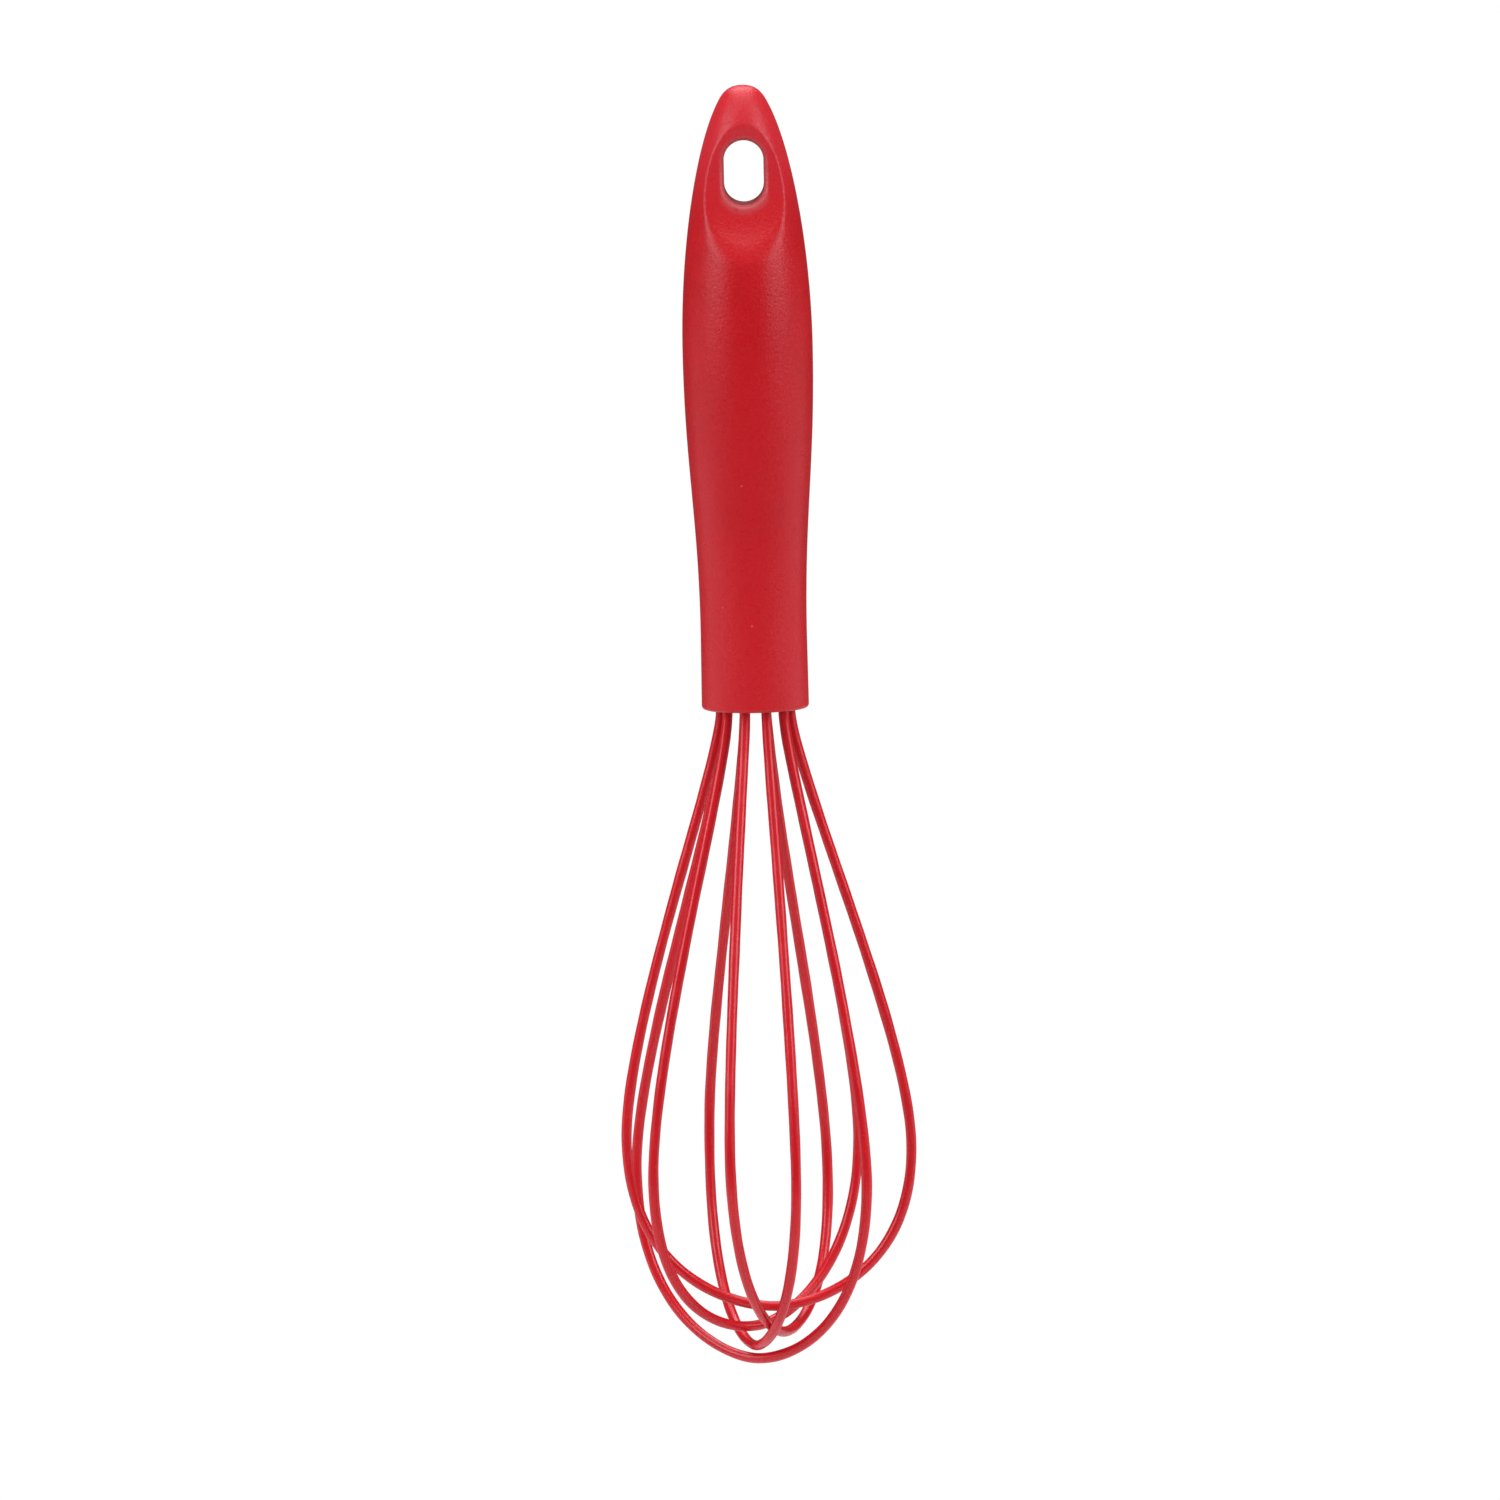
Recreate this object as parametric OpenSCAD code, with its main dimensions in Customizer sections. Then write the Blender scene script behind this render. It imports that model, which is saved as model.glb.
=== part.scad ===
// Balloon whisk, 26 cm: a moulded handle with a hanging slot, and five wire loops,
// each in a silicone sleeve, bound, plugged and potted into the handle's mouth.
// Millimetres. The axis is Z with the handle up, as it hangs. The handle's scooped
// faces look along -Y and +Y. The origin is where a peg bears, at the centre of the
// slot's upper arc.

/* [Handle] */
// Length of the handle, from its tip to its mouth
handle_len = 126.2; // [122:0.1:130]
// Largest diameter of the grip
belly_dia = 26.3; // [25:0.1:28]
// Distance from the tip to the largest diameter
belly_at = 53.2; // [50:0.1:56]
// Diameter of the waist, below the grip
waist_dia = 21.5; // [21.4:0.1:22.4]
// Distance from the tip to the waist
waist_at = 110.7; // [106:0.1:114]
// Diameter at the mouth, which flares a little
mouth_dia = 21.7; // [21.6:0.1:22.6]
// Radius of the rounded edge round the mouth
mouth_edge_r = 0.8; // [0.4:0.1:1]

/* [Scoops] */
// Thickness left between the two scoops, at the hanging slot
eye_thickness = 12; // [9:0.5:13]
// Radius of each scoop, which is cut across the handle
scoop_r = 31; // [28:1:36]
// Distance from the tip to the deepest line of the scoops
scoop_at = 15.2; // [13:0.1:17]

/* [Hanging slot] */
// Width of the slot
slot_w = 8; // [6:0.5:9]
// Length of the slot, end to end
slot_len = 13; // [11:0.5:15]
// Distance from the handle's tip to the centre of the slot
slot_at = 17.4; // [16:0.1:19]

/* [Mouth] */
// Diameter of the bore that takes the plug
bore_dia = 18.2; // [17.8:0.1:18.4]
// Depth of the bore
bore_depth = 32; // [30:1:40]
// Diameter of the cored hollow above the bore
hollow_dia = 12; // [8:0.5:14]
// Depth of the hollow, from the mouth
hollow_depth = 88; // [50:1:90]
// Length of the plug
plug_len = 12; // [8:0.5:14]
// How far the plug's face sits inside the mouth
plug_recess = 0.8; // [0.2:0.1:1.6]
// Depth of resin behind the plug
resin_len = 16; // [14:0.5:17]
// Height of the ring that binds the wire ends
ring_len = 6; // [3:0.5:8]
// Thickness of the ring
ring_wall = 0.6; // [0.4:0.1:0.8]

/* [Wires] */
// Diameter of the spring steel wire
wire_dia = 1.2; // [1:0.1:1.4]
// Diameter over the silicone sleeve
sleeve_dia = 2.1; // [1.8:0.1:2.2]
// Radius of the circle on which the ten wire ends stand
wire_circle_r = 7; // [6.9:0.1:7.2]
// How far the wires run into the handle, from its mouth
wire_inside = 26; // [24:1:28]

/* [Hidden] */

red = [0.74, 0.14, 0.17];
bright_red = [0.76, 0.12, 0.16];
clear = 0.05;      // play between a wire and what it passes through
over = 1;          // how far a cut runs past the face it opens
bore_chamfer = 0.4;
hole_chamfer = 0.4;
fine = 96;         // segments of the large circles
hole_fine = 32;    // and of the wire holes

// Heights of the fixed places along the axis.
tip_z = slot_at - (slot_len - slot_w) / 2;
mouth_z = tip_z - handle_len;
plug_face_z = mouth_z + plug_recess;
plug_back_z = plug_face_z + plug_len;
wire_end_z = mouth_z + wire_inside;

// The five loops, from the innermost pole to the outermost. A free loop is a balloon
// outline in a plane through the axis, and the wires push each other a little aside
// where they cross, so each has small offsets of its own. Angles are in degrees from +X.
loop_angle = [0, 36, 72, -72, -36];          // the plane in which the loop leaves the plug
loop_twist = [0, 0.5, -1.5, 1.5, 2];         // how far that plane has turned at the pole
loop_depth = [122.3, 126.3, 127.6, 130.2, 133];  // from the mouth to the pole
loop_bulge = [[28.5, 29.3], [25, 27], [30.2, 29.7], [25.2, 28.5], [27.6, 29]];
                                             // largest radius of its two sides
loop_bulge_at = [[89, 88.5], [92, 91.5], [92, 93], [97, 84.5], [96, 94.5]];
                                             // from the mouth to that radius
loop_sway = [1.5, 0, 0.4, 0.5, -2.3];        // shift of the pole within the loop's plane
loop_lean = [-0.8, 2, -3.4, -3, -1.9];       // shift of the pole out of that plane
loop_tilt = [0, 0.12, -0.11, 0.12, 0];       // slope of the loop's bottom

// Handles of the balloon outline's two curves, as shares of its spans.
neck_pull = 0.13;    // leaving the mouth
shoulder_pull = 0.26;  // reaching the largest radius
cheek_pull = 0.8;    // leaving the largest radius
pole_pull = 0.3;     // reaching the pole

neck_steps = 12;     // rings along each side, from the mouth to the largest radius
cheek_steps = 15;    // and from there to the pole
wire_sides = 8;
sleeve_sides = 10;

// A point of a cubic curve with four control points.
function cubic(p, t) =
    pow(1 - t, 3) * p[0] + 3 * pow(1 - t, 2) * t * p[1]
    + 3 * (1 - t) * t * t * p[2] + t * t * t * p[3];

// --- the handle's outline ---------------------------------------------------------

crown_r = 5.4;       // where the blunt crown turns into the long side
crown_at = 4.2;
crown_angle = 26;    // slope of the side there, from the axis
crown_dir = [sin(crown_angle), -cos(crown_angle)];
crown = [crown_r, -crown_at];

// Lengths of the outline's control arms.
tip_arm = 3.3;       // across the tip
crown_arm = 2.4;     // up from the crown's edge
side_arm = 10;       // down from it
grip_arm = 20;       // up from the largest diameter
belly_arm = 24;      // down from it, and up from the waist

// Radius and distance below the tip, as [r, z] with z downwards negative.
function crown_curve(t) =
    cubic([[0, 0], [tip_arm, 0], crown - crown_arm * crown_dir, crown], t);
function side_curve(t) =
    cubic([crown, crown + side_arm * crown_dir,
           [belly_dia / 2, grip_arm - belly_at], [belly_dia / 2, -belly_at]], t);
function waist_curve(t) =
    cubic([[belly_dia / 2, -belly_at], [belly_dia / 2, -belly_at - belly_arm],
           [waist_dia / 2, belly_arm - waist_at], [waist_dia / 2, -waist_at]], t);
function mouth_edge(a) =
    [mouth_dia / 2 - mouth_edge_r * (1 - cos(a)), mouth_edge_r * (1 - sin(a)) - handle_len];

handle_outline = concat(
    [for (i = [0:7]) crown_curve(i / 8)],
    [for (i = [0:17]) side_curve(i / 18)],
    [for (i = [0:18]) waist_curve(i / 18)],
    [for (a = [0:18:90]) mouth_edge(a)],
    [[0, -handle_len]]);

module scoop() {
    translate([0, eye_thickness / 2 + scoop_r, tip_z - scoop_at])
        rotate([0, 90, 0])
            cylinder(r = scoop_r, h = belly_dia + 2 * over, center = true, $fn = fine);
}

module slot_cut() {
    straight = slot_len - slot_w;
    rotate([90, 0, 0]) {
        cylinder(d = slot_w, h = belly_dia, center = true, $fn = fine);
        translate([0, -straight, 0])
            cylinder(d = slot_w, h = belly_dia, center = true, $fn = fine);
    }
    translate([0, 0, -straight / 2])
        cube([slot_w, belly_dia, straight], center = true);
}

// The stepped hollow: the bore for the plug, then a cored hole that ends in a cone.
module hollow() {
    r1 = bore_dia / 2;
    r2 = hollow_dia / 2;
    translate([0, 0, mouth_z])
        rotate_extrude($fn = fine)
            polygon([[0, -over], [r1 + bore_chamfer, -over], [r1 + bore_chamfer, 0],
                     [r1, bore_chamfer],
                     [r1, bore_depth], [r2, bore_depth + r1 - r2],
                     [r2, hollow_depth - r2], [0, hollow_depth]]);
}

module handle() {
    color(red)
        difference() {
            translate([0, 0, tip_z])
                rotate_extrude($fn = fine) polygon(handle_outline);
            scoop();
            mirror([0, 1, 0]) scoop();
            slot_cut();
            hollow();
        }
}

// --- what holds the wires in the mouth ---------------------------------------------

module at_wire_ends() {
    for (i = [0:9])
        rotate(36 * i) translate([wire_circle_r, 0, 0]) children();
}

module wire_plug() {
    hole_r = sleeve_dia / 2 + clear;
    color(bright_red)
        translate([0, 0, plug_face_z])
            difference() {
                cylinder(d = bore_dia - 2 * clear, h = plug_len, $fn = fine);
                at_wire_ends() {
                    translate([0, 0, -over])
                        cylinder(r = hole_r, h = plug_len + 2 * over, $fn = hole_fine);
                    translate([0, 0, -clear])
                        cylinder(r1 = hole_r + hole_chamfer + clear, r2 = hole_r,
                                 h = hole_chamfer + clear, $fn = hole_fine);
                }
            }
}

ring_r = wire_circle_r + wire_dia / 2 + clear;
ring_z = plug_back_z + (resin_len - ring_len) / 2;

module wire_ring() {
    color("silver")
        translate([0, 0, ring_z])
            difference() {
                cylinder(r = ring_r + ring_wall, h = ring_len, $fn = fine);
                translate([0, 0, -over]) cylinder(r = ring_r, h = ring_len + 2 * over, $fn = fine);
            }
}

module potting_resin() {
    color("ivory")
        difference() {
            translate([0, 0, plug_back_z])
                cylinder(d = bore_dia - 2 * clear, h = resin_len, $fn = fine);
            translate([0, 0, ring_z])
                difference() {
                    cylinder(r = ring_r + ring_wall, h = ring_len, $fn = fine);
                    cylinder(r = ring_r, h = ring_len, $fn = fine);
                }
            translate([0, 0, plug_back_z - over])
                at_wire_ends()
                    cylinder(r = wire_dia / 2 + clear / 2,
                             h = wire_end_z - plug_back_z + over, $fn = hole_fine);
        }
}

// --- the wire loops ------------------------------------------------------------------

// The balloon outline of one side, as [radius, depth below the mouth], for u from 0 at
// the mouth to 1 at the largest radius and 2 at the pole.
function outline(i, side, u) =
    let (r = loop_bulge[i][side], d = loop_bulge_at[i][side], depth = loop_depth[i])
    u < 1
        ? cubic([[wire_circle_r, 0], [wire_circle_r, neck_pull * d],
                 [r, d - shoulder_pull * d], [r, d]], u)
        : cubic([[r, d], [r, d + cheek_pull * (depth - d)],
                 [pole_pull * r, depth], [0, depth]], u - 1);

function ease(x) = x * x * (3 - 2 * x);

// That outline in space: side 0 is at the loop's angle and side 1 is opposite, and the
// offsets grow smoothly from none at the mouth to their full size at the pole.
function loop_point(i, side, u) =
    let (p = outline(i, side, u),
         f = ease(p[1] / loop_depth[i]),
         x = (side == 0 ? p[0] : -p[0]),
         along = x + loop_sway[i] * f,
         across = loop_lean[i] * f,
         a = loop_angle[i] + loop_twist[i] * f)
    [along * cos(a) - across * sin(a), along * sin(a) + across * cos(a),
     mouth_z - p[1] + loop_tilt[i] * x * f * f];

side_u = concat([for (k = [0:neck_steps - 1]) k / neck_steps],
                [for (k = [0:cheek_steps]) 1 + k / cheek_steps]);

// A straight end, which stands in the handle, at height z.
function end_point(i, side, z) =
    let (r = (side == 0 ? wire_circle_r : -wire_circle_r))
    [r * cos(loop_angle[i]), r * sin(loop_angle[i]), z];

// The whole route of a loop, from one end in the handle round the pole to the other.
function route(i, end_z) = concat(
    [end_point(i, 1, end_z)],
    [for (u = side_u) loop_point(i, 1, u)],
    [for (k = [len(side_u) - 2:-1:0]) loop_point(i, 0, side_u[k])],
    [end_point(i, 0, end_z)]);

function unit(v) = v / norm(v);

// A ring of points round each point of a route. The loop's own plane gives the rings
// their direction, so that they don't twist.
function rings(path, i, r, sides) =
    let (last = len(path) - 1, n = [-sin(loop_angle[i]), cos(loop_angle[i]), 0])
    [for (k = [0:last])
        let (before = path[max(k - 1, 0)], after = path[min(k + 1, last)],
             t = k == 0 ? [0, 0, -1] : k == last ? [0, 0, 1]
                 : unit(unit(after - path[k]) + unit(path[k] - before)),
             b = unit(cross(t, n)),
             c = cross(b, t))
        for (s = [0:sides - 1])
            let (a = 360 * (s + 0.5) / sides)
            path[k] + r * (cos(a) * b + sin(a) * c)];

// The two triangles of each face between one ring and the next, and the two end caps.
function wall_faces(count, sides) =
    [for (k = [0:count - 2]) for (s = [0:sides - 1])
        let (a = k * sides + s, b = k * sides + (s + 1) % sides)
        for (tri = [[a, b, b + sides], [a, b + sides, a + sides]]) tri];
function cap_faces(count, sides) =
    let (end = (count - 1) * sides)
    [for (s = [1:sides - 2]) for (tri = [[0, s + 1, s], [end, end + s, end + s + 1]]) tri];

module rod(i, r, sides, end_z) {
    path = route(i, end_z);
    count = len(path);
    polyhedron(rings(path, i, r, sides),
               concat(wall_faces(count, sides), cap_faces(count, sides)));
}

module wire(i) {
    color("lightgray")
        rod(i - 1, wire_dia / 2, wire_sides, wire_end_z);
}

module sleeve(i) {
    color(bright_red)
        difference() {
            rod(i - 1, sleeve_dia / 2, sleeve_sides, plug_back_z);
            rod(i - 1, wire_dia / 2 + clear / 2, wire_sides, wire_end_z);
        }
}

handle();
wire_plug();
potting_resin();
wire_ring();
wire(1);  // wire_1
wire(2);  // wire_2
wire(3);  // wire_3
wire(4);  // wire_4
wire(5);  // wire_5
sleeve(1);  // sleeve_1
sleeve(2);  // sleeve_2
sleeve(3);  // sleeve_3
sleeve(4);  // sleeve_4
sleeve(5);  // sleeve_5
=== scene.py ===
import math

import bmesh
import bpy
import numpy as np
from mathutils import Matrix, Vector


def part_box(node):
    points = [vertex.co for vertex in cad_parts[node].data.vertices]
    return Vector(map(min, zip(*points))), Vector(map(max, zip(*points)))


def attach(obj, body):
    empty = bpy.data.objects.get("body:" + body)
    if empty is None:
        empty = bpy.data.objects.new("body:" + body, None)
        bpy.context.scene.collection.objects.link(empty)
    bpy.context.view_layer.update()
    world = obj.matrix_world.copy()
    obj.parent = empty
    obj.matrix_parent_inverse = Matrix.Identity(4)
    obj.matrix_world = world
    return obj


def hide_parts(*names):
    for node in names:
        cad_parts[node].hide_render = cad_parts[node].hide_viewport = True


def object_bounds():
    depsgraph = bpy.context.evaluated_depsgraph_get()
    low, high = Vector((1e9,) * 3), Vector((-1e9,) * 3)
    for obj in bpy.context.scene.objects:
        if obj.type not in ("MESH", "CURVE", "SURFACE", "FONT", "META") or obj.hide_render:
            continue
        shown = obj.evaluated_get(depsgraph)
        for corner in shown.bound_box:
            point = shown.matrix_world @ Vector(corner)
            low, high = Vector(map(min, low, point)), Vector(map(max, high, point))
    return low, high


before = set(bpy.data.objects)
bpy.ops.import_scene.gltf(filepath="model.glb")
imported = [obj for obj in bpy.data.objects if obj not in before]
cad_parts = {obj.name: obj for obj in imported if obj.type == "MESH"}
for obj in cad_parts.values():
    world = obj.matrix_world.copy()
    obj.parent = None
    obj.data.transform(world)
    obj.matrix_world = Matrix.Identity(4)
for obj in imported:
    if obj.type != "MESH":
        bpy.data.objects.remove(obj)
cad_low, cad_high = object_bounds()

# --- The camera -----------------------------------------------------------------------
# A long lens looks at one scooped face, square to the handle and from a little above,
# and leans by about a degree, so that the whisk hangs slightly askew in the frame.
mouth_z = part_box("handle")[0].z
look_down = math.radians(6.25)
camera_lean = math.radians(1.25)
camera_distance = 2.5
field_width = 0.3036  # what the frame spans at that distance
aim_right, aim_up = -0.0011, -0.0085  # from the mouth's centre to the frame's middle

camera_data = bpy.data.cameras.new("camera")
camera_data.lens = camera_data.sensor_width * camera_distance / field_width
camera = bpy.data.objects.new("camera", camera_data)
bpy.context.scene.collection.objects.link(camera)
camera_pitch = Matrix.Rotation(math.pi / 2 - look_down, 4, "X")
camera_turn = camera_pitch @ Matrix.Rotation(-camera_lean, 4, "Z")
camera_aim = Vector((0, 0, mouth_z)) + camera_turn @ Vector((aim_right, aim_up, 0))
camera_place = camera_aim + camera_turn @ Vector((0, 0, camera_distance))
camera.matrix_world = Matrix.Translation(camera_place) @ camera_turn
bpy.context.scene.camera = camera


# --- The handle -----------------------------------------------------------------------
# One injection moulding in red polypropylene with a fine satin grain, round all along,
# with a scoop cut across its front and back and a slot through them to hang it by. Its
# mouth is bored to take the wires, and a faint parting line runs up both sides.
MM = 0.001  # meshes are worked out in millimetres, and materials read metres
tip_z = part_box("handle")[1].z / MM
handle_len = tip_z - mouth_z / MM
crown_r, crown_at, crown_angle = 5.4, 4.2, 26  # where the blunt crown meets the long side
belly_r, belly_at = 13.15, 53.2
waist_r, waist_at = 10.75, 110.7
mouth_r, mouth_edge_r = 10.85, 0.8
tip_arm, crown_arm, side_arm, grip_arm, belly_arm = 3.3, 2.4, 10, 20, 24  # the curves' arms
crown_rows, side_rows, grip_rows, edge_rows = 16, 126, 100, 9  # the mesh's rows on each
bore_r, bore_depth, bore_lip = 9.1, 32.0, 0.4
hollow_r, hollow_depth = 6.0, 88.0
handle_columns = 240

eye_half = 6.0  # half the thickness left at the deepest line of the scoops
scoop_r, scoop_at = 31.0, 15.2  # the scoops' radius, and their deepest line below the tip
scoop_edge, scoop_end = 0.38, 1.8  # how softly a scoop meets the round, at its sides and foot
foot_at, foot_span = 10.0, 9.0  # where the foot's softness starts, and over what height

slot_r, slot_straight, slot_lip = 4.0, 5.0, 1.3
window_margin, window_columns = 1.1, 27  # the mesh's opening round the slot, each way
face_rows, lip_rows, wall_rows = 8, 7, 6  # of the sheet that fills it

handle_red, deep_red = (0.495, 0.0052, 0.0095), (0.46, 0.0035, 0.007)
# Painted light: the red turns paler towards the tip, where light from above falls, and towards the
# mouth, where light comes up from the floor; each pair of heights is where that change runs.
tip_painted_light_red, tip_painted_light_heights = (0.545, 0.018, 0.026), (-16 * MM, 4 * MM)
mouth_painted_light_red, mouth_painted_light_heights = (0.54, 0.009, 0.014), (-58 * MM, -105 * MM)
# speck_pink is pale specks in the pigment; the other colour is a painted highlight on the slot's
# rounded lip, widest at its foot.
speck_pink, lip_highlight_pink = (0.62, 0.12, 0.13), (0.47, 0.068, 0.071)
lip_highlight_reach = (0.1 * MM, 1.2 * MM)  # where the painted highlight on the lip round the slot is full, and where it ends
lip_highlight_foot = (-5 * MM, -8.5 * MM)  # over these heights it widens to twice that
grain_height, seam_height, seam_edges = 0.09 * MM, 0.05 * MM, (0.08 * MM, 0.3 * MM)

weld_decimals = 5  # points that agree this far are one point
sharp_angle = 40  # edges that turn by more than this stay crisp


def cubic(points, count):
    """So many points of a cubic curve, its four given points weighted by (1-t)^3,
    3(1-t)^2 t, 3(1-t)t^2 and t^3 as t goes from 0 to 1."""
    a, b, c, d = np.asarray(points, float)
    t = np.linspace(0, 1, count)[:, None]
    return (1 - t) ** 3 * a + 3 * (1 - t) ** 2 * t * b + 3 * (1 - t) * t**2 * c + t**3 * d


def outline_outside():
    """Radius and depth below the tip: three cubic curves from the tip to the crown, the
    belly and the waist, and a quarter circle round the mouth's edge."""
    crown = np.array([crown_r, -crown_at])
    lean = math.radians(crown_angle)
    slope = np.array([math.sin(lean), -math.cos(lean)])
    belly = np.array([belly_r, -belly_at])
    waist = np.array([waist_r, -waist_at])
    top = cubic([(0, 0), (tip_arm, 0), crown - crown_arm * slope, crown], crown_rows)
    side = cubic([crown, crown + side_arm * slope, belly + (0, grip_arm), belly], side_rows)
    grip = cubic([belly, belly - (0, belly_arm), waist + (0, belly_arm), waist], grip_rows)
    turn = np.linspace(0, math.pi / 2, edge_rows)
    edge = np.column_stack([mouth_r - mouth_edge_r * (1 - np.cos(turn)),
                            mouth_edge_r * (1 - np.sin(turn)) - handle_len])
    return np.vstack([top, side[1:], grip[1:], edge])


def outline_inside():
    """The same for the stepped hollow, from the mouth up to the point where it ends."""
    corners = np.array([(bore_r + bore_lip, 0), (bore_r, bore_lip), (bore_r, bore_depth),
                        (hollow_r, bore_depth + bore_r - hollow_r),
                        (hollow_r, hollow_depth - hollow_r), (0, hollow_depth)])
    return corners - (0, handle_len)


outside = outline_outside()


def face_depth(x, z):
    """How far the handle's face stands from its middle plane: the lesser of the round,
    sqrt(R(z)^2 - x^2), and the scoop's arc, rolled together more softly towards the foot,
    where the softness grows with 3f^2 - 2f^3 of the share f of its height."""
    radius = np.interp(z, outside[::-1, 1] + tip_z, outside[::-1, 0])
    round_part = np.sqrt(np.maximum(radius**2 - x**2, 0))
    reach = np.clip(z - (tip_z - scoop_at), -scoop_r, scoop_r)
    scoop = eye_half + scoop_r - np.sqrt(scoop_r**2 - reach**2)
    foot = np.clip((-z - foot_at) / foot_span, 0, 1)
    softness = scoop_edge + (scoop_end - scoop_edge) * foot**2 * (3 - 2 * foot)
    overlap = np.maximum(softness - np.abs(round_part - scoop), 0)
    return np.minimum(round_part, scoop) - overlap**2 / softness / 4


def handle_grid():
    """The outline swung round the axis, with each point's y drawn in to face_depth."""
    rows = np.vstack([outside, outline_inside()])
    turn = np.linspace(0, 2 * math.pi, handle_columns + 1)
    x = rows[:, :1] * np.cos(turn)
    y = rows[:, :1] * np.sin(turn)
    z = np.repeat(rows[:, 1:] + tip_z, handle_columns + 1, axis=1)
    outer = len(outside)
    y[:outer] = np.sign(y[:outer]) * np.minimum(np.abs(y[:outer]), face_depth(x, z)[:outer])
    grid = np.stack([x, y, z], axis=2)
    grid[:, -1] = grid[:, 0]
    return grid


def slot_sheet(border, side):
    """From a closed border on the face, straight lines run in to the slot, square to its
    outline; a quarter circle turns over the lip and a wall goes on to the middle plane."""
    centre_z = np.clip(border[:, 2], -slot_straight, 0)
    away = np.column_stack([border[:, 0], border[:, 2] - centre_z])
    start = np.linalg.norm(away, axis=1)
    away /= start[:, None]
    share = np.linspace(0, 1, face_rows + 1)[:, None]
    reach = start * (1 - share) + (slot_r + slot_lip) * share
    x, z = away[:, 0] * reach, centre_z + away[:, 1] * reach
    flat = np.stack([x, side * face_depth(x, z), z], axis=2)
    flat[0] = border
    turn = np.linspace(0, math.pi / 2, lip_rows + 1)[1:, None]
    reach = slot_r + slot_lip * (1 - np.sin(turn)) * np.ones(len(border))
    depth = np.abs(flat[-1, :, 1]) - slot_lip * (1 - np.cos(turn))
    lip = np.stack([away[:, 0] * reach, side * depth, centre_z + away[:, 1] * reach], axis=2)
    share = np.linspace(1, 0, wall_rows + 1)[1:]
    wall = lip[-1] * np.column_stack([np.ones(wall_rows), share, np.ones(wall_rows)])[:, None]
    return np.concatenate([flat, lip, wall])


def cells(grid):
    """The four corners of every cell of a grid of points, by number."""
    number = np.arange(grid.shape[0] * grid.shape[1]).reshape(grid.shape[:2])
    return np.stack([number[:-1, :-1], number[1:, :-1], number[1:, 1:], number[:-1, 1:]], axis=2)


def make_mesh(name, points, faces, closed=True):
    """A piece from points in millimetres and four-cornered faces, and the numbers of the
    points kept. Points that fall together become one, cells that close to a point become
    triangles, and the faces of a closed shell are turned outwards."""
    _, kept, number = np.unique(np.round(points, weld_decimals), axis=0,
                                return_index=True, return_inverse=True)
    faces = number.reshape(-1)[faces]
    same = faces == np.roll(faces, -1, axis=1)
    whole = faces[~same.any(axis=1)].tolist()
    for corner in range(4):
        merged = same[:, corner] & (same.sum(axis=1) == 1)
        whole += np.delete(faces[merged], corner, axis=1).tolist()
    mesh = bpy.data.meshes.new(name)
    mesh.from_pydata(points[kept] * MM, [], whole)
    if closed:
        shaped = bmesh.new()
        shaped.from_mesh(mesh)
        bmesh.ops.recalc_face_normals(shaped, faces=shaped.faces)
        shaped.to_mesh(mesh)
        shaped.free()
    mesh.shade_smooth()
    mesh.set_sharp_from_angle(angle=math.radians(sharp_angle))
    piece = bpy.data.objects.new(name, mesh)
    bpy.context.scene.collection.objects.link(piece)
    return piece, kept


def handle_mesh():
    """The handle's grid with a window cut in its front and back, each filled by a sheet
    that runs into the slot."""
    grid = handle_grid()
    faces = cells(grid)
    height = grid[: len(outside), 0, 2]
    margin = slot_r + slot_lip + window_margin
    upper = int(np.argmin(np.abs(height - margin)))
    lower = int(np.argmin(np.abs(height + slot_straight + margin)))
    open_cells = np.zeros(faces.shape[:2], bool)
    points, corners = [grid.reshape(-1, 3)], []
    for quarter, side in ((1, 1), (3, -1)):
        left = quarter * handle_columns // 4 - window_columns
        right = left + 2 * window_columns
        open_cells[upper:lower, left:right] = True
        border = np.concatenate([grid[upper, left:right], grid[upper:lower, right],
                                 grid[lower, right:left:-1], grid[lower:upper:-1, left],
                                 grid[upper:upper + 1, left]])
        sheet = slot_sheet(border, side)
        corners.append(cells(sheet).reshape(-1, 4) + sum(map(len, points)))
        points.append(sheet.reshape(-1, 3))
    corners.append(faces[~open_cells])
    return make_mesh("moulded_handle", np.concatenate(points), np.concatenate(corners))[0]


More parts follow.
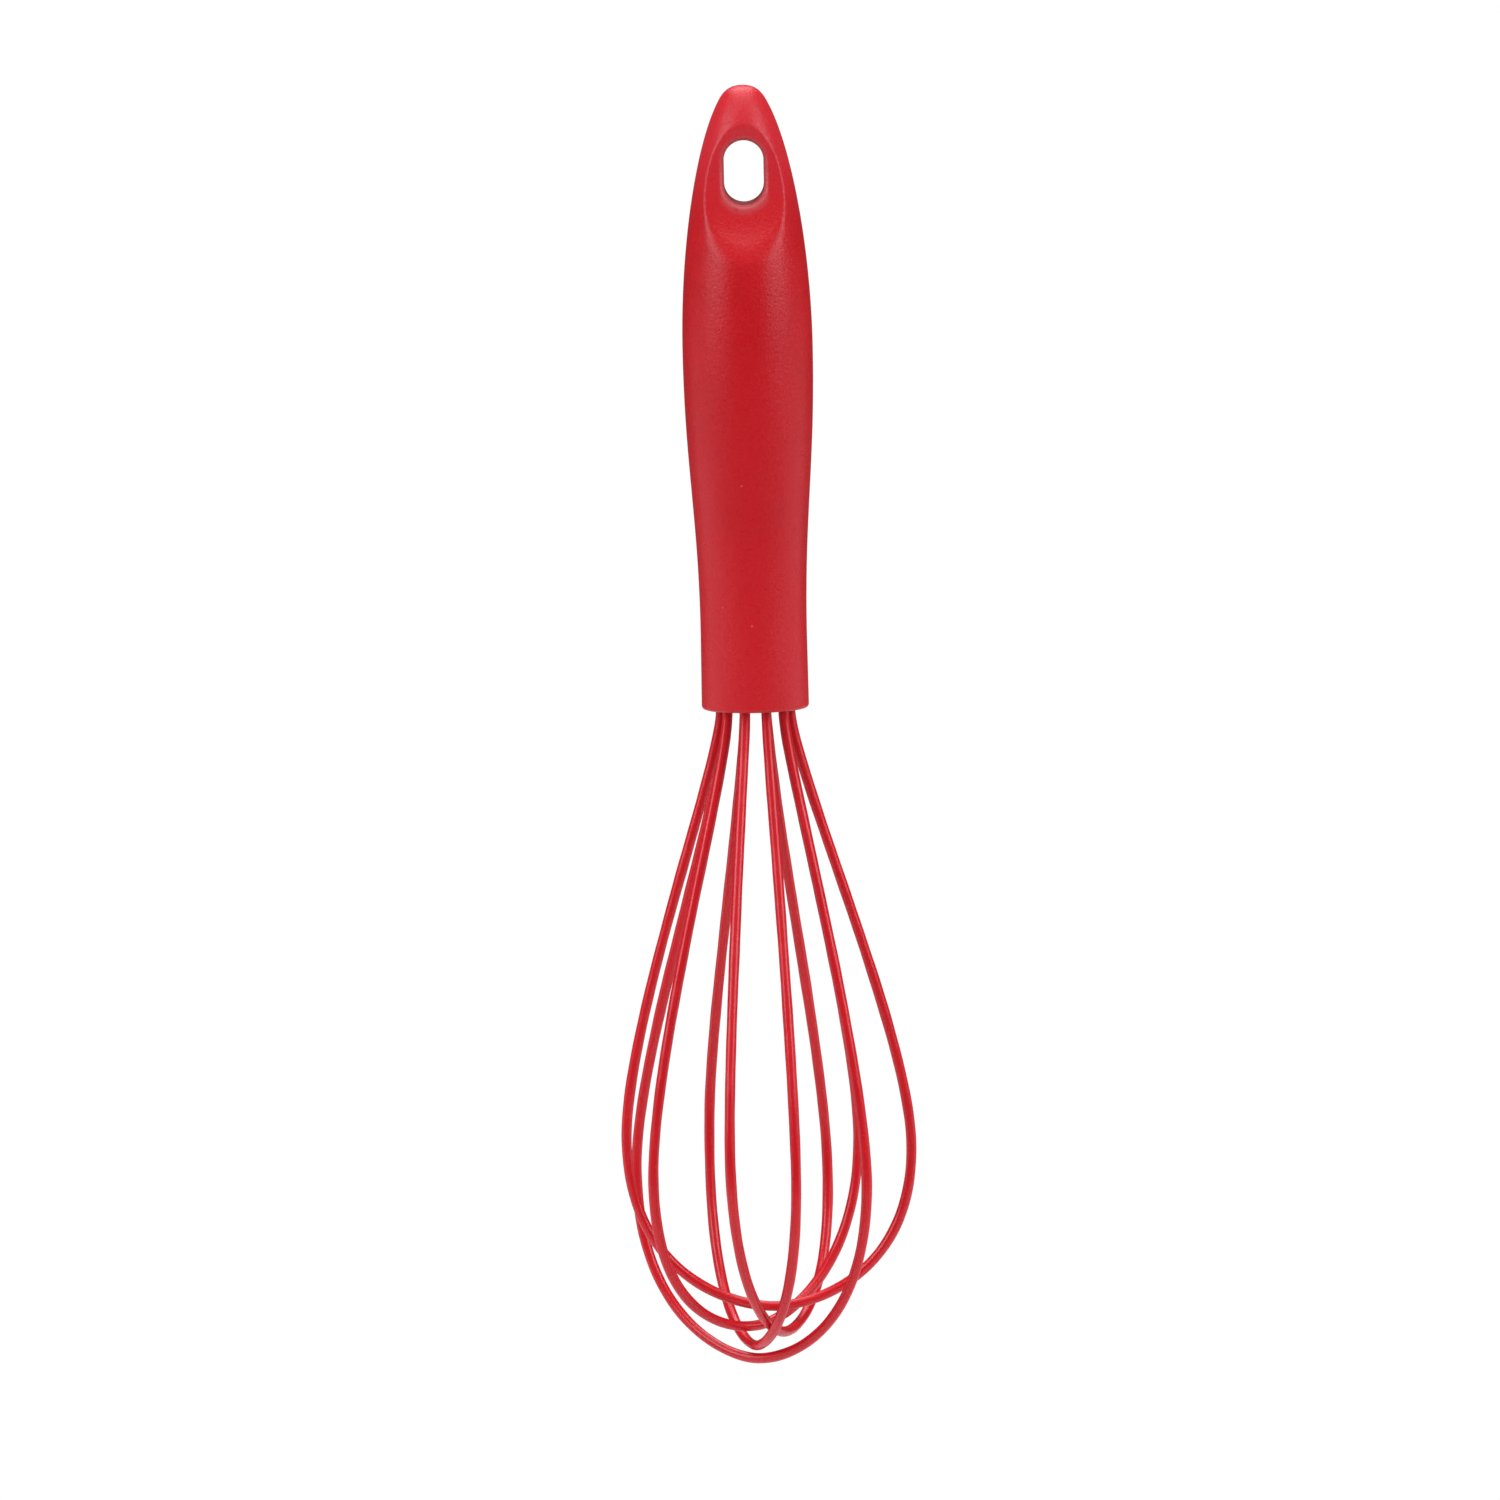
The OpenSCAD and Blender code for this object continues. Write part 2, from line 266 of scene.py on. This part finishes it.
class Value:
    """A socket of a material. Sums, differences and products add Math nodes, and node()
    adds a node of any other kind."""

    def __init__(self, tree, socket=None):
        self.tree, self.socket = tree, socket

    def node(self, kind, settings=(), inputs=(), output=0):
        """A new node, given its settings and then the values or links of its sockets."""
        made = self.tree.nodes.new(kind)
        for key, setting in dict(settings).items():
            setattr(made, key, setting)
        for key, given in dict(inputs).items():
            if isinstance(given, Value):
                self.tree.links.new(given.socket, made.inputs[key])
            else:
                made.inputs[key].default_value = given
        return Value(self.tree, made.outputs[output]) if made.outputs else None

    def maths(self, operation, *given):
        """A Math node of this operation on these numbers or links."""
        return self.node("ShaderNodeMath", {"operation": operation}, dict(enumerate(given)))

    def __add__(self, other):
        return self.maths("ADD", self, other)

    def __sub__(self, other):
        return self.maths("SUBTRACT", self, other)

    def __rsub__(self, other):
        return self.maths("SUBTRACT", other, self)

    def __mul__(self, other):
        return self.maths("MULTIPLY", self, other)

    def __abs__(self):
        return self.maths("ABSOLUTE", self)

    __radd__ = __add__
    __rmul__ = __mul__

    def axis(self, number):
        """One of a place's three numbers: 0 is x, 1 is y and 2 is z."""
        return self.node("ShaderNodeSeparateXYZ", (), {0: self}, output=number)

    def clip(self, low, high):
        """This value, but never under low or over high."""
        return self.maths("MINIMUM", self.maths("MAXIMUM", self, low), high)

    def root(self):
        """This value's square root."""
        return self.maths("SQRT", self)

    def ramp(self, low, high):
        """0 at low and before it, 1 at high and past it, and smooth between. Low may be
        the larger of the two."""
        inputs = {"Value": self, "From Min": low, "From Max": high}
        return self.node("ShaderNodeMapRange", {"interpolation_type": "SMOOTHSTEP"}, inputs)

    def noise(self, scale, detail=2.0, roughness=0.5):
        """Soft noise about 0.5, with about scale waves to one unit of this place."""
        inputs = {"Vector": self, "Scale": scale, "Detail": detail, "Roughness": roughness}
        return self.node("ShaderNodeTexNoise", (), inputs)

    def cell(self, scale, output="Distance"):
        """The distance to the nearest of many scattered points, or that point's colour."""
        return self.node("ShaderNodeTexVoronoi", (), {"Vector": self, "Scale": scale}, output)

    def colour(self, none, full):
        """A colour that goes from none to full as this value goes from 0 to 1."""
        inputs = {0: self, 6: colour_of(none), 7: colour_of(full)}
        return self.node("ShaderNodeMix", {"data_type": "RGBA"}, inputs, output=2)

    def bump(self, distance, normal=None):
        """A normal that follows this value as a height, 1 being distance in metres, laid
        over another normal where one is given."""
        inputs = {"Height": self, "Distance": distance, "Strength": 1.0}
        if normal is not None:
            inputs["Normal"] = normal
        return self.node("ShaderNodeBump", (), inputs)


def colour_of(given):
    """A Mix node's colour, from another node's or from red, green and blue."""
    return given if isinstance(given, Value) else (*given, 1.0)


def new_material(name):
    """An empty material, and the place on the piece that its patterns follow."""
    material = bpy.data.materials.new(name)
    material.use_nodes = True
    material.node_tree.nodes.clear()
    return material, Value(material.node_tree).node("ShaderNodeTexCoord", output="Object")


def finish_material(place, **sockets):
    """A Principled surface with these sockets, their names with _ for each space."""
    inputs = {key.replace("_", " "): given for key, given in sockets.items()}
    surface = place.node("ShaderNodeBsdfPrincipled", (), inputs)
    place.node("ShaderNodeOutputMaterial", (), {"Surface": surface})


def satin_red_plastic():
    """Red through and through: clouds of slightly deeper colour, painted light that turns it
    paler towards the tip and the mouth, pale specks in the pigment, a painted highlight on
    the lip round the slot, a spark-eroded grain, and the parting line where y is nearly
    nothing. The highlight follows sqrt(x^2 + d^2) less the slot's radius, with d the height
    past the slot's arcs."""
    material, place = new_material("satin_red_plastic")
    aside, across, height = place.axis(0), place.axis(1), place.axis(2)
    clouds = place.noise(60.0, 3.0).ramp(0.35, 0.7)
    red = clouds.colour(handle_red, deep_red)
    # Painted light: paler at the tip from the light above, and at the mouth from the floor below.
    red = height.ramp(*tip_painted_light_heights).colour(red, tip_painted_light_red)
    red = height.ramp(*mouth_painted_light_heights).colour(red, mouth_painted_light_red)

    chosen = place.node("ShaderNodeSeparateColor", (), {0: place.cell(210.0, "Color")})
    specks = (1 - place.cell(210.0).ramp(0.025, 0.06)) * chosen.ramp(0.5, 0.54)
    red = specks.colour(red, speck_pink)

    # Painted highlight on the rounded lip round the slot, widening towards its foot.
    past = height - height.clip(-slot_straight * MM, 0)
    away = (aside * aside + past * past).root() - slot_r * MM
    lip_highlight = 1 - (away * (1 - 0.5 * height.ramp(*lip_highlight_foot))).ramp(*lip_highlight_reach)
    red = (lip_highlight * place.noise(900.0, 3.0).ramp(0.1, 0.5)).colour(red, lip_highlight_pink)

    grain = place.noise(1700.0, 3.0, 0.6)
    seam = 1 - abs(across).ramp(*seam_edges)
    roughness = 0.35 + 0.06 * (place.noise(350.0, 4.0) - 0.5) + 0.5 * (grain - 0.5)
    normal = seam.bump(seam_height, grain.bump(grain_height))
    finish_material(place, Base_Color=red, Roughness=roughness, Normal=normal,
                    Specular_IOR_Level=0.3)
    return material


handle = handle_mesh()
handle.data.materials.append(satin_red_plastic())
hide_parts("handle")
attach(handle, "root")


# --- The spring wires -----------------------------------------------------------------
# Five lengths of 1.2 mm spring steel, each bent into a balloon outline with both ends
# in the handle. The wires push each other a little aside where they cross, so no two
# have the same outline.
wire_r, wire_sides, wire_step = 0.6, 12, 0.9
wire_circle_r = 7.0  # the circle that the ten ends stand on
wire_inside = 26.0  # how far they run up into the handle
loops = {
    # In degrees, the angle of the loop's plane and its further twist at the pole; the depth
    # of the pole; the two sides' bulge radii, and their depths; and the pole's sway within
    # the plane, its lean out of it, and the slope of the loop's bottom.
    1: (0, 0, 122.3, (28.5, 29.3), (89, 88.5), 1.5, -0.8, 0),
    2: (36, 0.5, 126.3, (25, 27), (92, 91.5), 0, 2, 0.12),
    3: (72, -1.5, 127.6, (30.2, 29.7), (92, 93), 0.4, -3.4, -0.11),
    4: (-72, 1.5, 130.2, (25.2, 28.5), (97, 84.5), 0.5, -3, 0.12),
    5: (-36, 2, 133, (27.6, 29), (96, 94.5), -2.3, -1.9, 0),
}
neck_pull, shoulder_pull, cheek_pull, pole_pull = 0.13, 0.26, 0.8, 0.3  # the curves' arms
curve_points, straight_points = 400, 29

steel_dark, steel_light = (0.42, 0.42, 0.44), (0.58, 0.58, 0.6)


def side_route(number, side, inside):
    """One side of a loop, from its end in the handle to the pole. In the loop's plane it
    is two cubic curves, mouth to bulge to pole; the loop's shifts and twist grow with
    3f^2 - 2f^3 of the share f of the depth, and its slope with the square of that."""
    angle, twist, depth, bulge, bulge_at, sway, lean, tilt = loops[number]
    r, d, c = bulge[side], bulge_at[side], wire_circle_r
    neck = cubic([(c, 0), (c, neck_pull * d), (r, d - shoulder_pull * d), (r, d)], curve_points)
    cheek = cubic([(r, d), (r, d + cheek_pull * (depth - d)), (pole_pull * r, depth),
                   (0, depth)], curve_points)
    outline = np.vstack([neck, cheek[1:]])
    share = outline[:, 1] / depth
    share = share**2 * (3 - 2 * share)
    x = outline[:, 0] * (1 - 2 * side)
    along, across = x + sway * share, lean * share
    turn = np.radians(angle + twist * share)
    z = mouth_z / MM - outline[:, 1] + tilt * x * share**2
    free = np.column_stack([along * np.cos(turn) - across * np.sin(turn),
                            along * np.sin(turn) + across * np.cos(turn), z])
    up = np.linspace(inside, 0, straight_points + 1)[:-1, None] * (0, 0, 1)
    return np.vstack([up + free[0], free])


def loop_route(number, inside, step):
    """The whole loop with its points evenly spaced, and each one's distance along it."""
    route = np.vstack([side_route(number, 1, inside), side_route(number, 0, inside)[-2::-1]])
    length = np.append(0, np.cumsum(np.linalg.norm(np.diff(route, axis=0), axis=1)))
    even = np.linspace(0, length[-1], int(length[-1] / step) + 1)
    return np.column_stack([np.interp(even, length, route[:, k]) for k in range(3)]), even


def tube(number, route, radius, sides):
    """A circle of the given radius round each point of the route, square to it. The
    circles start from the loop's own plane, so that they don't twist."""
    angle = math.radians(loops[number][0])
    tangent = np.gradient(route, axis=0)
    tangent /= np.linalg.norm(tangent, axis=1)[:, None]
    out = np.cross(tangent, (-math.sin(angle), math.cos(angle), 0))
    out /= np.linalg.norm(out, axis=1)[:, None]
    up = np.cross(out, tangent)
    turn = np.linspace(0, 2 * math.pi, sides + 1)[None, :, None]
    reach = np.broadcast_to(radius, len(route))[:, None, None]
    rings = route[:, None] + reach * (np.cos(turn) * out[:, None] + np.sin(turn) * up[:, None])
    rings[:, -1] = rings[:, 0]
    return rings


def drawn_spring_steel():
    """Bright drawn wire, with a fine mottle."""
    material, place = new_material("drawn_spring_steel")
    mottle = place.noise(900.0, 3.0)
    finish_material(place, Base_Color=mottle.colour(steel_dark, steel_light), Metallic=1.0,
                    Roughness=0.25 + 0.15 * mottle, Normal=mottle.bump(0.004 * MM))
    return material


steel = drawn_spring_steel()
for number in loops:
    route, _ = loop_route(number, wire_inside, wire_step)
    wall = tube(number, route, wire_r, wire_sides)
    ends = np.repeat(route[[0, -1], None], wire_sides + 1, axis=1)
    rings = np.concatenate([ends[:1], wall, ends[1:]])
    wire, _ = make_mesh(f"spring_wire_{number}", rings.reshape(-1, 3), cells(rings).reshape(-1, 4))
    wire.data.materials.append(steel)
    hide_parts(f"wire_{number}")
    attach(wire, "root")


# --- The silicone sleeves -------------------------------------------------------------
# Each wire is drawn into an extruded red silicone sleeve, 2.1 mm thick over all, before
# it is bent. The sleeve's ends are level with the plug's inner face, and its thickness
# wanders a little along it.
sleeve_r, sleeve_bore_r, sleeve_sides, sleeve_step = 1.05, 0.62, 20, 0.8
sleeve_inside = 12.8  # how far a sleeve's ends run up into the handle
swells = [(0.022, 7.5, 2.1), (0.016, 3.7, 1.3), (0.012, 1.45, 0.7)]  # height, length, start
streak_length = 12.0

silicone_red, silicone_deep = (0.615, 0.0085, 0.015), (0.555, 0.0065, 0.012)
streak_red = (0.64, 0.016, 0.026)


def red_silicone():
    """Extruded silicone: its own place along and round the sleeve draws fine streaks
    along it, with slow changes of shade, and dust in its skin."""
    material, place = new_material("red_silicone")
    skin = place.node("ShaderNodeAttribute", {"attribute_name": "sleeve_place"}, output="Vector")
    streaks = skin.noise(1.6, 3.0, 0.6)
    red = place.noise(45.0).ramp(0.3, 0.7).colour(silicone_red, silicone_deep)
    red = streaks.ramp(0.55, 0.8).colour(red, streak_red)
    dust = place.noise(2600.0)
    finish_material(place, Base_Color=red, Roughness=0.17 + 0.14 * streaks + 0.04 * dust,
                    Normal=dust.bump(0.006 * MM, streaks.bump(0.02 * MM)),
                    Specular_IOR_Level=0.42)
    return material


silicone = red_silicone()
for number in loops:
    route, even = loop_route(number, sleeve_inside, sleeve_step)
    swell = sum(height * np.sin(even / length + start * number) for height, length, start in swells)
    outer = tube(number, route, sleeve_r * (1 + swell), sleeve_sides)
    inner = tube(number, route, sleeve_bore_r, sleeve_sides)
    rings = np.concatenate([outer, inner[::-1], outer[:1]])
    sleeve, kept = make_mesh(f"silicone_sleeve_{number}", rings.reshape(-1, 3),
                             cells(rings).reshape(-1, 4))
    turn = np.linspace(0, 2 * math.pi, sleeve_sides + 1)
    slow = np.concatenate([even, even[::-1], even[:1]]) / streak_length
    skin = np.stack(np.broadcast_arrays(np.cos(turn), np.sin(turn), slow[:, None]), axis=2)
    place = sleeve.data.attributes.new("sleeve_place", "FLOAT_VECTOR", "POINT")
    place.data.foreach_set("vector", skin.reshape(-1, 3)[kept].astype(np.float32).reshape(-1))
    sleeve.data.materials.append(silicone)
    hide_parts(f"sleeve_{number}")
    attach(sleeve, "root")


# --- The wire plug --------------------------------------------------------------------
# A moulded plug that guides the ten sleeved wire ends out of the handle's mouth, pressed
# in a little short of the rim.
plug_red, plug_deep = (0.46, 0.007, 0.012), (0.38, 0.005, 0.01)


def dress(node, material):
    """Gives a node of the frame its only material."""
    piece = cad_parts[node]
    piece.data.materials.clear()
    piece.data.materials.append(material)


def plug_plastic():
    """The handle's plastic in another batch: cloudier, duller and finely grained."""
    material, place = new_material("plug_plastic")
    clouds = place.noise(400.0, 3.0)
    finish_material(place, Base_Color=clouds.colour(plug_red, plug_deep),
                    Roughness=0.42 + 0.12 * clouds, Normal=place.noise(2400.0).bump(0.01 * MM))
    return material


dress("wire_plug", plug_plastic())


# --- The potting resin ----------------------------------------------------------------
# Amber resin, cast in behind the plug, that locks the wire ends, the ring and the plug
# to the handle.
resin_amber, resin_pale = (0.60, 0.53, 0.36), (0.70, 0.65, 0.50)


def cast_resin():
    """Cloudy amber resin with small bubbles at its skin."""
    material, place = new_material("cast_resin")
    cloudy = place.noise(300.0, 4.0)
    bubbles = place.cell(900.0).ramp(0.0, 0.35)
    finish_material(place, Base_Color=cloudy.colour(resin_amber, resin_pale),
                    Roughness=0.12 + 0.1 * cloudy, Normal=bubbles.bump(0.02 * MM))
    return material


dress("potting_resin", cast_resin())


# --- The wire ring --------------------------------------------------------------------
# A steel strip rolled into a ring that binds the ten bare wire ends before they are
# potted.
ring_dark, ring_light = (0.46, 0.46, 0.48), (0.62, 0.62, 0.64)
brushed_stretch = 14  # how many times finer the lines are up the ring than round it


def ring_steel():
    """Steel strip, brushed round the ring."""
    material, place = new_material("ring_steel")
    stretch = {0: place, "Scale": (1, 1, brushed_stretch)}
    brushed = place.node("ShaderNodeMapping", (), stretch).noise(700.0, 4.0)
    finish_material(place, Base_Color=brushed.colour(ring_dark, ring_light), Metallic=1.0,
                    Roughness=0.28 + 0.14 * brushed, Normal=brushed.bump(0.005 * MM))
    return material


dress("wire_ring", ring_steel())


# --- The stage ------------------------------------------------------------------------
# A wide pale floor well below the hanging whisk, a softbox to each side in front and a
# low dim one straight to each side, a wide one overhead, a weak one in front, one high
# behind, and a dim even sky. Floor and sky are plain white to the camera.
floor_gap = 0.25
near_r, far_r = 0.5, 1.1  # where the floor goes from painted board to plain white
floor_rings = (0, near_r, far_r, 5.0, 60.0)  # metres, out to the horizon
floor_columns = 96
board_grey = (0.78, 0.78, 0.77, 1)
white_strength = 1.02
sky_strength = 0.08
lamp_colour = (1.0, 0.975, 1.06)


def shown_white(surface, mask):
    """A surface that the camera sees as plain white where the mask is 1."""
    seen = surface.node("ShaderNodeLightPath", output="Is Camera Ray")
    glow = {"Color": (1, 1, 1, 1), "Strength": white_strength}
    white = surface.node("ShaderNodeEmission", (), glow)
    return surface.node("ShaderNodeMixShader", (), {0: seen * mask, 1: surface, 2: white})


def pale_floor():
    """Painted board near the whisk, white further off, and clear when seen from below."""
    material, place = new_material("pale_floor")
    distance = place.node("ShaderNodeVectorMath", {"operation": "LENGTH"}, {0: place}, output=1)
    board = place.node("ShaderNodeBsdfDiffuse", (), {"Color": board_grey})
    above = shown_white(board, distance.ramp(near_r, far_r))
    below = place.node("ShaderNodeNewGeometry", output="Backfacing")
    clear = place.node("ShaderNodeBsdfTransparent")
    surface = place.node("ShaderNodeMixShader", (), {0: below, 1: above, 2: clear})
    place.node("ShaderNodeOutputMaterial", (), {"Surface": surface})
    return material


turn = np.linspace(0, 2 * math.pi, floor_columns + 1)
reach = np.array(floor_rings)[:, None] / MM
floor_z = (cad_low.z - floor_gap) / MM
disc = np.stack(np.broadcast_arrays(reach * np.cos(turn), reach * np.sin(turn), floor_z), axis=2)
disc[:, -1] = disc[:, 0]
floor, _ = make_mesh("floor", disc.reshape(-1, 3), cells(disc).reshape(-1, 4), closed=False)
floor.data.materials.append(pale_floor())


def softbox(name, azimuth, elevation, distance, width, height, radiance):
    """A rectangular light that faces the whisk from so many degrees round it, 0 being the
    camera's side, and above it. Its power is the radiance times pi times its area."""
    data = bpy.data.lights.new(name, "AREA")
    data.shape, data.size, data.size_y = "RECTANGLE", width, height
    data.energy = radiance * math.pi * width * height
    data.color = lamp_colour
    light = bpy.data.objects.new(name, data)
    light.visible_camera = False
    bpy.context.scene.collection.objects.link(light)
    a, e = math.radians(azimuth), math.radians(elevation)
    back = Vector((math.sin(a) * math.cos(e), -math.cos(a) * math.cos(e), math.sin(e)))
    centre = (cad_low + cad_high) / 2
    light.matrix_world = (Matrix.Translation(centre + back * distance)
                          @ back.to_track_quat("Z", "Y").to_matrix().to_4x4())


for name, azimuth in (("left_softbox", -59), ("right_softbox", 59)):
    softbox(name, azimuth, elevation=24, distance=1.3, width=0.84, height=0.78, radiance=4.6)
for name, azimuth in (("left_low_softbox", -95), ("right_low_softbox", 95)):
    softbox(name, azimuth, elevation=-8, distance=1.3, width=1.2, height=0.4, radiance=1.0)
softbox("overhead", 0, elevation=86, distance=1.2, width=1.3, height=1.3, radiance=2.9)
softbox("front_fill", 0, elevation=25, distance=1.3, width=0.9, height=0.5, radiance=0.35)
softbox("back_softbox", 180, elevation=60, distance=1.4, width=1.2, height=0.8, radiance=3.0)

world = bpy.data.worlds.new("sky")
bpy.context.scene.world = world
world.use_nodes = True
world.node_tree.nodes.clear()
dim = {"Color": (1, 1, 1, 1), "Strength": sky_strength}
sky = Value(world.node_tree).node("ShaderNodeBackground", (), dim)
sky.node("ShaderNodeOutputWorld", (), {"Surface": shown_white(sky, 1.0)})
bpy.context.scene.view_settings.view_transform = "Standard"
